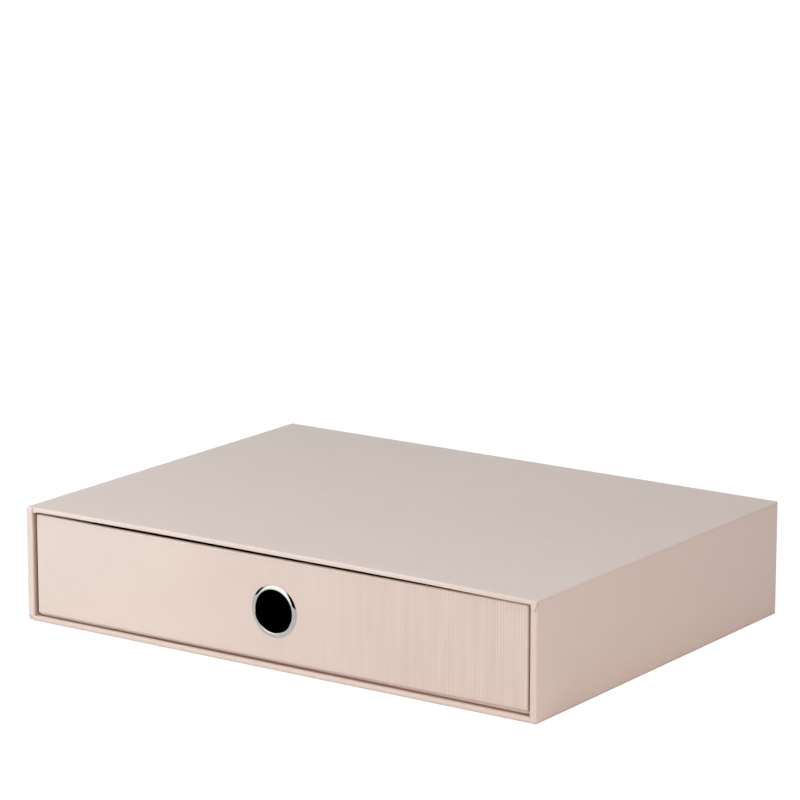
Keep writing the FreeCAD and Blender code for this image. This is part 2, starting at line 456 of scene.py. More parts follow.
def rubbed_edges() -> Tree:
    """Mask of the folds and edges that hands rub.

    Returns:
        The group, with the mask.
    """
    blunt, sharp, break_scale, break_swing, least = 0.51, 0.60, 240.0, 0.8, 0.3

    def wire(graph: Graph, given: Mapping[str, Socket]) -> dict[str, Socket]:
        """Takes the pointed places of the mesh and breaks them up.

        Args:
            graph: the group's graph.
            given: the group's inputs.

        Returns:
            The outputs by name.
        """
        pointed = graph.add("NewGeometry").outputs["Pointiness"]
        ridge = graph.add("MapRange", clamp=True, Value=pointed, From_Min=blunt, From_Max=sharp)
        broken = graph.line(graph.noise(given["Vector"], break_scale, 3.0), break_swing, least)
        return {"Mask": graph.math("MULTIPLY", ridge.outputs[0], broken)}

    return group("rubbed_edges", {"Vector": None}, wire)


# ---------------------------------------------------------------- finishes

class RibRun(Enum):
    """Which distance the ribs of a paper piece are counted along."""

    STORED = "the run stored with the piece"
    INWARD = "Y"
    ROUND_WALLS = "X on walls that face front or back, Y on the others"
    PLAIN = "no ribs in the shader"


def start_material(name: str, **constants: object) -> tuple[Material, Graph, Node, Socket]:
    """A new material with its Principled shader.

    Args:
        name: the material's name.
        constants: values set on the shader's own inputs.

    Returns:
        The material, its graph, the Principled node and the object coordinates.
    """
    material = bpy.data.materials.new(name)
    material.use_nodes = True
    graph = Graph(material.node_tree)
    shader = graph.add("BsdfPrincipled", **constants)
    graph.add("OutputMaterial", Surface=shader.outputs["BSDF"])
    return material, graph, shader, graph.add("TexCoord").outputs["Object"]


@dataclass(frozen=True)
class FootShadow:
    """Painted shadow along the foot of a wall, where it meets the casing floor, lower toward the left."""

    height: float = 3.97 * MM
    slope: float = 0.004
    blur: float = 0.16 * MM
    dark: float = 0.92

    def share(self, graph: Graph, place: Socket) -> Socket:
        """How much painted shadow falls at a place.

        Args:
            graph: the material's graph.
            place: object coordinates.

        Returns:
            The share of the shade colour.
        """
        place = graph.split(place)
        line = graph.math("MINIMUM", graph.line(place["X"], self.slope, self.height), self.height)
        above = graph.math("DIVIDE", graph.math("SUBTRACT", line, place["Z"]), self.blur)
        return graph.line(graph.math("MINIMUM", graph.math("MAXIMUM", above, 0.0), 1.0), self.dark)


@dataclass(frozen=True)
class CoverPaper:
    """Dull tinted cover stock with fine ribs pressed into it."""

    name: str
    run: RibRun
    foot: FootShadow | None = None
    tint: Colour = (0.791, 0.654, 0.591, 1.0)
    # Pale colour of flecks and rubbed edges, also used for painted highlight.
    rubbed_and_highlight: Colour = (0.88, 0.76, 0.70, 1.0)
    # Colour of painted shade in grooves, creases, gaps, the mouth's inside and along the tray's foot.
    deep: Colour = (0.35, 0.19, 0.14, 1.0)
    fleck_share: float = 0.12
    rub_share: float = 0.35
    mottle: float = 0.10
    # Painted shade in the rib grooves, through the colour and through the tone.
    groove_dark: float = 0.25
    rib_dark: float = 0.012
    rib_depth: float = 0.010 * MM
    fibre_depth: float = 0.006 * MM
    roughness: float = 0.66
    roughness_swing: float = 0.16
    specular: float = 0.25
    sideways: float = 0.7

    def _run(self, graph: Graph, place: Socket) -> Socket:
        """Gives the distance that the ribs are counted along.

        Args:
            graph: the material's graph.
            place: object coordinates.

        Returns:
            The distance in metres.
        """
        if self.run is RibRun.STORED:
            return graph.stored("run")
        place = graph.split(place)
        if self.run is RibRun.INWARD:
            return place["Y"]
        facing = graph.split(graph.add("TexCoord").outputs["Normal"])
        side = graph.math("GREATER_THAN", graph.math("ABSOLUTE", facing["X"]), self.sideways)
        return graph.line(side, graph.math("SUBTRACT", place["Y"], place["X"]), place["X"])

    def _colour(self, graph: Graph, place: Socket, fleck: Socket) -> Socket:
        """Gives the paper's colour: flecked, rubbed pale on pointed edges, with painted highlight on some
        edges and painted shade in grooves, creases, gaps, the mouth's inside and along the tray's foot.

        Args:
            graph: the material's graph.
            place: object coordinates.
            fleck: mask of the lighter fibres.

        Returns:
            The colour before the mottle.
        """
        rub = graph.line(graph.place(rubbed_edges, Vector=place)["Mask"], self.rub_share)
        colour = graph.blend(graph.line(fleck, self.fleck_share), self.tint, self.rubbed_and_highlight)
        # Rubbed edges and painted highlight lighten the paper toward the pale colour.
        colour = graph.blend(graph.math("MAXIMUM", rub, graph.stored("painted_highlight")), colour, self.rubbed_and_highlight)
        # Painted shade: rib grooves, the stored shade and the painted foot shadow darken the paper toward the
        # shade colour.
        shares = [graph.line(graph.stored("groove"), self.groove_dark), graph.stored("painted_shade")]
        if self.foot:
            shares.append(self.foot.share(graph, place))
        for share in shares:
            colour = graph.blend(share, colour, self.deep)
        return colour

    def material(self) -> Material:
        """Builds the material.

        Returns:
            The material.
        """
        material, graph, shader, place = start_material(self.name, Specular_IOR_Level=self.specular)
        fibres = graph.place(paper_fibres, Vector=place)
        tone = graph.place(soft_mottle, Vector=place, Amount=self.mottle)["Tone"]
        height = graph.line(fibres["Height"], self.fibre_depth)
        if self.run is not RibRun.PLAIN:
            ribs = graph.place(pressed_ribs, Vector=place, Run=self._run(graph, place), Pitch=RIB_PITCH)
            height = graph.line(ribs["Height"], self.rib_depth, height)
            # Painted shade in the rib grooves.
            tone = graph.math("MULTIPLY", tone, graph.line(ribs["Groove"], -self.rib_dark, 1.0))
        grey = graph.add("CombineColor", Red=tone, Green=tone, Blue=tone).outputs[0]
        colour = self._colour(graph, place, fibres["Fleck"])
        graph.give(shader, Base_Color=graph.blend(1.0, colour, grey, "MULTIPLY"),
                   Roughness=graph.line(fibres["Height"], self.roughness_swing, self.roughness),
                   Normal=graph.relief(height))
        return material


@dataclass(frozen=True)
class PlainStock:
    """Flecked paper or pulp board without ribs."""

    name: str
    tint: Colour
    fleck: Colour
    fibre_scale: float
    fleck_share: float
    roughness: float
    roughness_swing: float = 0.2
    specular: float = 0.5
    clouds: Triple | None = None
    relief: float = 0.0

    def material(self) -> Material:
        """Builds the material.

        Returns:
            The material.
        """
        material, graph, shader, place = start_material(self.name, Specular_IOR_Level=self.specular)
        fibres = graph.place(paper_fibres, Vector=place, Scale=self.fibre_scale)
        colour = graph.blend(graph.line(fibres["Fleck"], self.fleck_share), self.tint, self.fleck)
        if self.clouds:
            amount, gain, offset = self.clouds
            tone = graph.place(soft_mottle, Vector=place, Amount=amount)["Tone"]
            colour = graph.blend(graph.line(tone, gain, offset), colour, self.fleck)
        if self.relief:
            graph.give(shader, Normal=graph.relief(graph.line(fibres["Height"], self.relief)))
        graph.give(shader, Base_Color=colour,
                   Roughness=graph.line(fibres["Height"], self.roughness_swing, self.roughness))
        return material


@dataclass(frozen=True)
class LiningPaper(PlainStock):
    """Plain charcoal paper that lines the inside."""

    name: str = "charcoal_lining"
    tint: Colour = (0.013, 0.012, 0.013, 1.0)
    fleck: Colour = (0.030, 0.028, 0.030, 1.0)
    fibre_scale: float = 900.0
    fleck_share: float = 0.4
    roughness: float = 0.72
    specular: float = 0.2
    clouds: Triple | None = (0.5, 0.25, -0.2)
    relief: float = 0.012 * MM


@dataclass(frozen=True)
class Greyboard(PlainStock):
    """Grey pulp board with dark and pale flecks."""

    name: str = "grey_pulp_board"
    tint: Colour = (0.30, 0.285, 0.26, 1.0)
    fleck: Colour = (0.45, 0.43, 0.40, 1.0)
    fibre_scale: float = 500.0
    fleck_share: float = 1.0
    roughness: float = 0.78
    clouds: Triple | None = (0.8, 0.5, -0.4)
    relief: float = 0.05 * MM


@dataclass(frozen=True)
class GummedTape(PlainStock):
    """Smooth brown gummed paper."""

    name: str = "brown_gummed_tape"
    tint: Colour = (0.42, 0.27, 0.15, 1.0)
    fleck: Colour = (0.55, 0.40, 0.26, 1.0)
    fibre_scale: float = 1100.0
    fleck_share: float = 0.6
    roughness: float = 0.45


@dataclass(frozen=True)
class PolishedMetal:
    """Bright plated steel with a faint haze of handling."""

    name: str = "polished_metal"
    tint: Colour = (0.62, 0.62, 0.60, 1.0)
    hazed: Colour = (0.55, 0.55, 0.52, 1.0)
    haze_scale: Place = (6.0, 6.0, 6.0)
    haze_gain: float = 0.9
    haze_offset: float = -0.7
    roughness: float = 0.05
    roughness_swing: float = 0.05

    def material(self) -> Material:
        """Builds the material.

        Returns:
            The material.
        """
        material, graph, shader, place = start_material(self.name, Metallic=1.0)
        tone = graph.place(soft_mottle, Vector=graph.stretch(place, self.haze_scale), Amount=1.0)["Tone"]
        haze = graph.line(tone, self.haze_gain, self.haze_offset)
        graph.give(shader, Base_Color=graph.blend(haze, self.tint, self.hazed),
                   Roughness=graph.line(haze, self.roughness_swing, self.roughness))
        return material


# ---------------------------------------------------------------- casing

@dataclass(frozen=True)
class Outline:
    """A rounded rectangle seen from the front, with the same number of points whatever its size."""

    half: float
    low: float
    high: float
    corner: float
    across: Sequence[float]
    upward: Sequence[float]
    bends: int

    def points(self, lift: Callable[[float], float]) -> list[Pair]:
        """The outline's points, turning left from the bottom left corner.

        Args:
            lift: how far the top edge stands above its flat place at each X.

        Returns:
            (x, z) of each point.
        """
        r, flat, wall = self.corner, self.half - self.corner, self.high - self.low - 2 * self.corner

        def arc(x: float, z: float, start: float) -> list[Pair]:
            """Points of one rounded corner, without its ends."""
            angles = [math.radians(start + 90 * step / self.bends) for step in range(1, self.bends)]
            return [(x + r * math.cos(angle), z + r * math.sin(angle)) for angle in angles]

        bottom = [(flat * (2 * t - 1), self.low) for t in self.across]
        right = [(self.half, self.low + r + wall * t) for t in self.upward]
        top = [(-x, self.high + lift(-x)) for x, _ in bottom]
        left = [(-self.half, self.low + r + wall * (1 - t)) for t in self.upward]
        return (bottom + arc(flat, self.low + r, -90) + right + arc(flat, self.high - r, 0)
                + top + arc(-flat, self.high - r, 90) + left + arc(-flat, self.low + r, 180))


@dataclass(frozen=True)
class Dent:
    """A soft push into the surface round a place, or a pimple if it pushes outward."""

    place: Place
    reach: float
    push: Place

    def moved(self, point: Vector) -> Vector:
        """The point after the push."""
        near = 1.0 - (point - Vector(self.place)).length / self.reach
        return point + Vector(self.push) * near * near * (3 - 2 * near) if near > 0 else point


@dataclass(frozen=True)
class Crease:
    """A pinched line in the paper between two places, with painted shade along it."""

    start: Place
    end: Place
    reach: float
    push: Place
    dark: float

    def share(self, point: Vector) -> float:
        """How much of the pinch reaches a point.

        Args:
            point: a place on the paper.

        Returns:
            1 on the line, 0 beyond its reach.
        """
        start, line = Vector(self.start), Vector(self.end) - Vector(self.start)
        along = held((point - start).dot(line) / line.length_squared)
        return max(0.0, 1.0 - (point - start - line * along).length / self.reach)


@dataclass(frozen=True)
class Shelter:
    """Painted shade on the folded-in paper inside the mouth: from a depth on, over a reach, to its most."""

    start: float
    reach: float
    most: float

    def share(self, depth: float) -> float:
        """The painted shade at a depth."""
        return self.most * held((depth - self.start) / self.reach)


@dataclass
class Casing:
    """The open-fronted casing: boards, cover paper and lining."""

    paper: float = 0.2 * MM
    lap: float = 0.15 * MM
    lap_blur: float = 0.25 * MM
    lap_depth: float = 0.35 * MM
    fold: float = 0.9 * MM
    inner_fold: float = 0.45 * MM
    back_fold: float = 0.7 * MM
    inner_corner: float = 0.2 * MM
    turn_in: float = 16.0 * MM
    back_turn: float = 15.2 * MM
    bends: int = 6
    fold_steps: int = 5
    across_steps: Triple = (0.4 * MM, 6 * MM, 7 * MM)
    upward_steps: Triple = (0.4 * MM, 6 * MM, 6 * MM)
    inward_steps: Triple = (0.4 * MM, 8 * MM, 8 * MM)
    turn_in_shares: Sequence[float] = (1.0, 0.8, 0.6, 0.48, 0.39, 0.31, 0.25, 0.2, 0.16, 0.12, 0.08, 0.05)
    edge_shares: Sequence[float] = (0.15, 0.3, 0.45, 0.6, 0.8)
    back_shares: Sequence[float] = (0.1, 0.4, 1.0)
    seam_inset: float = 0.6 * MM
    spring_end: float = 2.3 * MM
    lip_swell: float = 0.11 * MM
    swell_depth: float = 6.0 * MM
    swell_height: float = 0.8
    swell_side: float = 4.0 * MM
    corner_hang: float = 0.75 * MM
    hang_reach: float = 4.5 * MM
    sag: float = 0.05 * MM
    sag_scale: float = 22.0
    soft_corner: float = 0.65 * MM
    board_round: float = 0.6 * MM
    board_push: Pair = (1.3 * MM, -1.1 * MM)
    push_in: float = 1.0 * MM
    push_reach: float = 3.4 * MM
    tab_width: float = 1.3 * MM
    tab_length: float = 5.6 * MM
    tab_slope: float = 0.28
    tab_reach: float = 2.0 * MM
    mitre: float = 1.2 * MM
    # Painted highlight on the corner tab.
    tab_highlight: float = 0.4
    # Painted highlight along the mouth's front edge; toward its right the highlight fades and painted shade
    # comes in.
    edge_highlight: float = 0.12
    highlight_depth: float = 0.54 * MM
    highlight_fade: float = 5.0
    right_shade_from: float = 105 * MM
    right_shade_over: float = 50 * MM
    right_shade: float = 0.08
    # Painted shade on the sill, near the table and in a ring round the pimple.
    front_dark: float = 0.13
    table_dark: float = 0.34
    table_reach: float = 1.9 * MM
    pimple_ring: float = 1.15 * MM
    pimple_blur: float = 0.45 * MM
    pimple_dark: float = 0.3
    # Painted shade inside the mouth, on the left and right walls and on the floor.
    left_shelter: Shelter = Shelter(0.36 * MM, 1.3 * MM, 0.60)
    right_shelter: Shelter = Shelter(0.36 * MM, 1.3 * MM, 0.48)
    floor_shelter: Shelter = Shelter(2.5 * MM, 2.6 * MM, 0.85)
    floor_later: float = 1.1 * MM
    floor_turn: Pair = (-20 * MM, 120 * MM)
    corner_later: float = 1.0 * MM
    corner_reach: float = 3.0 * MM
    corner_pale: float = 0.35
    spring: Sequence[Pair] = (
        (-163.4, 0.0), (-157.0, 0.17), (-150.0, 0.29), (-120.0, 0.56), (-83.0, 0.82), (-45.0, 0.89),
        (-18.0, 0.89), (15.0, 0.88), (45.0, 0.89), (80.0, 0.79), (105.0, 0.62), (128.0, 0.31),
        (144.0, 0.10), (156.0, 0.02), (163.4, 0.0))
    softened: Sequence[str] = ("casing_left_board",)
    linings: Sequence[str] = ("casing_lining",)
    boards: Sequence[str] = ("casing_right_board", "casing_top_board", "casing_bottom_board",
                             "casing_back_board")
    sheets: Sequence[str] = ("casing_base_sheet", "casing_back_sheet")

    def __post_init__(self) -> None:
        """Reads the casing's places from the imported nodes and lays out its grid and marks."""
        low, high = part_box("casing_outer_wrap")
        self.half, self.front, self.back, self.low = high[0], low[1] + self.lap, high[1], low[2]
        self.flat_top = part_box("casing_left_board")[1][2] + self.paper
        self.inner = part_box("casing_top_board")[1][0] - self.paper
        self.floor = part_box("casing_bottom_board")[1][2] + self.paper
        self.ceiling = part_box("casing_back_board")[1][2] - self.paper
        self.seam = self.inner - self.seam_inset
        self.across = spaced(2 * (self.half - self.fold), *self.across_steps)
        self.upward = spaced(self.flat_top - self.low - 2 * self.fold, *self.upward_steps)
        self.pimple = (self.half, self.back - 5.8 * MM, self.low + 3.4 * MM)
        self.dents = self._dents()
        self.creases = self._creases()

    def _dents(self) -> tuple[Dent, ...]:
        """The knocked left corners of the mouth and a pimple low on the right side.

        Returns:
            The soft pushes.
        """
        left, soft = -self.half, self.soft_corner
        return (
            Dent((left, self.front, self.low), 4.6 * MM, (soft * 0.30, soft * 0.35, soft * 0.36)),
            Dent((left, self.front, self.flat_top), 3.0 * MM, (-0.06 * MM, 0.05 * MM, -0.30 * MM)),
            Dent(self.pimple, 2.4 * MM, (-0.15 * MM, 0.0, 0.0)),
            Dent(self.pimple, 0.9 * MM, (0.14 * MM, 0.0, 0.0)))

    def _creases(self) -> tuple[Crease, ...]:
        """The seam at the mouth's top left, the tab at its top right, and faint pinches.

        Returns:
            The pinched lines.
        """
        half, seam, front, back, low, top = (
            self.half, -self.seam, self.front, self.back, self.low, self.flat_top)
        return (
            Crease((seam, front, self.ceiling - 0.2 * MM), (seam, front, top),
                   0.55 * MM, (0.0, 0.10 * MM, 0.0), 0.65),
            Crease((half - 0.1 * MM, front + 0.7 * MM, top - self.tab_width),
                   (half - self.tab_width, front, top - self.tab_length),
                   0.8 * MM, (-0.05 * MM, 0.05 * MM, 0.0), 0.65),
            Crease((half, front + 0.9 * MM, top - 1.15 * MM), (half, back - 1.0 * MM, top - 1.15 * MM),
                   0.7 * MM, (-0.03 * MM, 0.0, 0.0), 0.11),
            Crease((half, back - 4.2 * MM, low + 7.0 * MM), (half, back - 4.2 * MM, low + 24.0 * MM),
                   0.7 * MM, (-0.03 * MM, 0.0, 0.0), 0.06),
            Crease((-half, front, low + 3.2 * MM), (-half + 2.6 * MM, front, low + 2.0 * MM),
                   0.6 * MM, (0.0, 0.12 * MM, 0.0), 0.45),
            Crease((-half + 0.8 * MM, front, low), (-half + 3.0 * MM, front, low + 1.6 * MM),
                   0.6 * MM, (0.0, 0.12 * MM, 0.0), 0.4))

    def lift(self, x: float, y: float) -> float:
        """How far the sprung top stands above its flat place.

        Args:
            x: place across the mouth.
            y: place from front to back.

        Returns:
            The rise in metres, which dies away to the back.
        """
        back = self.back - self.spring_end
        share = max(0.0, (back - y) / (back - self.front))
        return through(self.spring, x / MM) * MM * share

    def _stations(self) -> list[tuple[Outline, float]]:
        """The cover's path: from the turn-in's end, out over the mouth's edge, back and round behind.

        Returns:
            (outline, y) of each loop.
        """
        wide, tall = self.half - self.inner, self.floor - self.low
        stations: list[tuple[Outline, float]] = []

        def add(out_x: float, out_z: float, y: float, corner: float) -> None:
            """Adds a loop that stands this far out from the mouth's inner faces."""
            stations.append((Outline(self.inner + out_x, self.floor - out_z, self.ceiling + out_z, corner,
                                     self.across, self.upward, self.bends), y))

        for share in self.turn_in_shares:
            add(0.0, 0.0, self.front + self.turn_in * share, self.inner_corner)
        for angle in quarter(self.fold_steps):
            out = self.inner_fold * (1 - math.cos(angle))
            add(out, out, self.front + self.inner_fold * (1 - math.sin(angle)), self.inner_corner + out / 3)
        for share in self.edge_shares:
            out_x, out_z = (self.inner_fold + (size - self.inner_fold - self.fold) * share
                            for size in (wide, tall))
            add(out_x, out_z, self.front, self.inner_corner + self.fold * (0.2 + share / 2))
        for angle in quarter(self.fold_steps):
            out = self.fold * (1 - math.sin(angle))
            add(wide - out, tall - out, self.front + self.fold * (1 - math.cos(angle)), self.fold - out / 3)
        start, end = self.front + self.fold, self.back - self.back_fold
        for share in spaced(end - start, *self.inward_steps)[1:-1]:
            add(wide, tall, start + (end - start) * share, self.fold)
        for angle in quarter(self.fold_steps):
            out = self.back_fold * (1 - math.cos(angle))
            add(wide - out, tall - out, end + self.back_fold * math.sin(angle), self.fold)
        for share in self.back_shares:
            out = self.back_fold + (self.back_turn - self.back_fold) * share
            add(wide - out, tall - out, self.back, self.fold)
        return stations

    def cover(self) -> Piece:
        """Cover paper round the casing, folded in at the mouth and over the back.

        Returns:
            The cover.
        """
        stations = self._stations()
        points: list[Vector] = []
        # The run counts the ribs; the other two hold painted shade and painted highlight.
        stored: dict[str, list[float]] = {"run": [], "painted_shade": [], "painted_highlight": []}
        travelled, last = 0.0, None
        for outline, y in stations:
            loop = outline.points(lambda x, y=y: self.lift(x, y))
            here = Vector((0.0, y, outline.low))
            travelled += (here - last).length if last else 0.0
            last = here
            for x, z in loop:
                point, dark, light = self._worked(Vector((x, y, z)))
                points.append(point)
                for values, value in zip(stored.values(), (travelled, dark, light)):
                    values.append(value)
        piece = new_piece("casing_cover", points, loops_to_faces(len(stations), len(loop)), **stored)
        thicken(piece, self.paper)
        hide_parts("casing_outer_wrap")
        return piece

    def _worked(self, point: Vector) -> tuple[Vector, float, float]:
        """Gives a point of the cover its laps, creases, dents and unevenness.

        Args:
            point: place on the plain cover.

        Returns:
            The moved point, how much painted shade it gets and how much painted highlight.
        """
        point = self._swollen(point)
        raised = self._lapped(point)
        move = Vector((0.0, -self.lap * raised, 0.0))
        # Painted highlight on the corner tab.
        light = self.tab_highlight * raised if point.x > 0 else 0.0
        ring = abs((point - Vector(self.pimple)).length - self.pimple_ring) / self.pimple_blur
        # Painted shade inside the mouth, near the table, on the sill and in a ring round the pimple.
        dark = max(self._shelter(point), self._grounded(point), self.pimple_dark * (1 - ring))
        # Painted highlight along the mouth's front edge, less toward the right, where painted shade comes in
        # instead.
        if point.y < self.front + self.highlight_depth:
            right_shade_share = held((point.x - self.right_shade_from) / self.right_shade_over)
            light = max(light, self.edge_highlight * (1 - right_shade_share) * max(0.0, 1 - self.highlight_fade * dark))
            dark = max(dark, self.right_shade * right_shade_share)
        # Each crease pushes the paper and paints shade along its line.
        for mark in self.creases:
            share = mark.share(point)
            move += Vector(mark.push) * share
            dark = max(dark, mark.dark * share)
        point = point + move
        for dent in self.dents:
            point = dent.moved(point)
        point.x = held(point.x, -self.half, self.half)
        return self._soften(point), dark, light

    def _swollen(self, point: Vector) -> Vector:
        """Lets the paper under the top's front edge hang a little clear of the board.

        Args:
            point: place on the plain cover.

        Returns:
            The place it hangs at.
        """
        above = (point.z - self.ceiling - self.lift(point.x, point.y)) / (self.flat_top - self.ceiling)
        depth = (point.y - self.front) / self.swell_depth
        slack = 0.01
        if abs(point.x) > self.inner or above < -slack or depth > 1:
            return point
        share = max(0.0, 1 - above / self.swell_height) * (1 - max(0.0, depth)) ** 2
        side = min(1.0, (self.inner - abs(point.x)) / self.swell_side)
        corner = max(0.0, 1 - (point.x + self.inner) / self.hang_reach)
        return point - Vector((0.0, 0.0, share * (self.lip_swell * side + self.corner_hang * corner)))

    def _shelter(self, point: Vector) -> float:
        """How much painted shade the paper gets inside the mouth.

        Args:
            point: place on the plain cover.

        Returns:
            0 at the mouth's edge and outside, more on the walls and the floor behind it.
        """
        near, above_floor = 0.1 * MM, 0.15 * MM
        inside = abs(point.x) < self.inner + near and self.floor - near < point.z
        if not inside or point.z > self.ceiling + self.lift(point.x, point.y) + near:
            return 0.0
        shelter = self.left_shelter if point.x < 0 else self.right_shelter
        if point.z < self.floor + above_floor:
            (turn, over), floor = self.floor_turn, self.floor_shelter
            corner = max(0.0, 1 - (self.inner - point.x) / self.corner_reach)
            later = self.floor_later * held((point.x - turn) / over) + self.corner_later * corner
            shelter = Shelter(floor.start + later, floor.reach, floor.most - self.corner_pale * corner)
        return shelter.share(point.y - self.front)

    def _grounded(self, point: Vector) -> float:
        """How much painted shade a point low on the casing's outside gets near the table, and on the sill.

        Args:
            point: place on the plain cover.

        Returns:
            The share of the shade colour.
        """
        if point.y > self.front + self.inner_fold and abs(point.x) < self.half - self.fold:
            return 0.0
        hair = 0.05 * MM
        on_sill = point.z < self.floor + hair and abs(point.x) < self.inner
        share = max(0.0, 1 - (point.z - self.low) / self.table_reach)
        return max(self.table_dark * share, self.front_dark if on_sill else 0.0)

    def _lapped(self, point: Vector) -> float:
        """How much of the second layer of paper lies over a point of the mouth's flat edge.

        Args:
            point: place on the plain cover.

        Returns:
            1 on the left board's strip and on the corner tab, 0 off them.
        """
        if point.y > self.front + self.lap_depth:
            return 0.0
        strip = -point.x - self.seam
        mitre = point.z - self.ceiling + point.x - self.inner + self.mitre
        slant = (point.z - self.flat_top + self.tab_length) * self.tab_slope
        tab = min(mitre, (self.half - self.tab_width) + slant - point.x)
        tab = tab if point.x > self.inner - self.tab_reach else -1.0
        return held(max(strip, tab) / self.lap_blur)

    def _soften(self, point: Vector) -> Vector:
        """Pulls the sides in by a few hundredths, unevenly, as board and glue leave them.

        Args:
            point: place on the worked cover.

        Returns:
            The place after the pull.
        """
        hair = 0.02 * MM
        if self.half - abs(point.x) > hair:
            return point
        pull = self.sag * (0.5 + 0.5 * noise.noise(point * self.sag_scale))
        return point - Vector((math.copysign(pull, point.x), 0, 0))

    def softened_board(self, name: str) -> Piece:
        """A casing board whose front left corners have been knocked soft.

        Args:
            name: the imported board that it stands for.

        Returns:
            The board.
        """
        low, high = (Vector(corner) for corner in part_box(name))
        shape = bmesh.new()
        for corner in bmesh.ops.create_cube(shape, size=1.0)["verts"]:
            corner.co = (low + high) / 2 + Vector(a * b for a, b in zip(corner.co, high - low))
        bmesh.ops.bevel(shape, geom=list(shape.edges), offset=self.board_round, segments=4, profile=0.5,
                        affect="EDGES", clamp_overlap=True)
        for end, push in zip((self.low, self.flat_top), self.board_push):
            soft = Dent((-self.half, self.front - self.lap, end), self.push_reach,
                        (abs(push), self.push_in, push))
            for corner in shape.verts:
                corner.co = soft.moved(corner.co)
        mesh = bpy.data.meshes.new(name + "_softened")
        shape.to_mesh(mesh)
        shape.free()
        piece = put(name + "_softened", mesh)
        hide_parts(name)
        return piece


# ---------------------------------------------------------------- drawer

@dataclass(frozen=True)
class Ripple:
    """Smooth unevenness over the facing."""

    amount: float
    across: float
    upward: float
    layer: float

    def at(self, x: float, z: float) -> float:
        """Its value at a place."""
        return self.amount * noise.noise(Vector((x * self.across, z * self.upward, self.layer)))


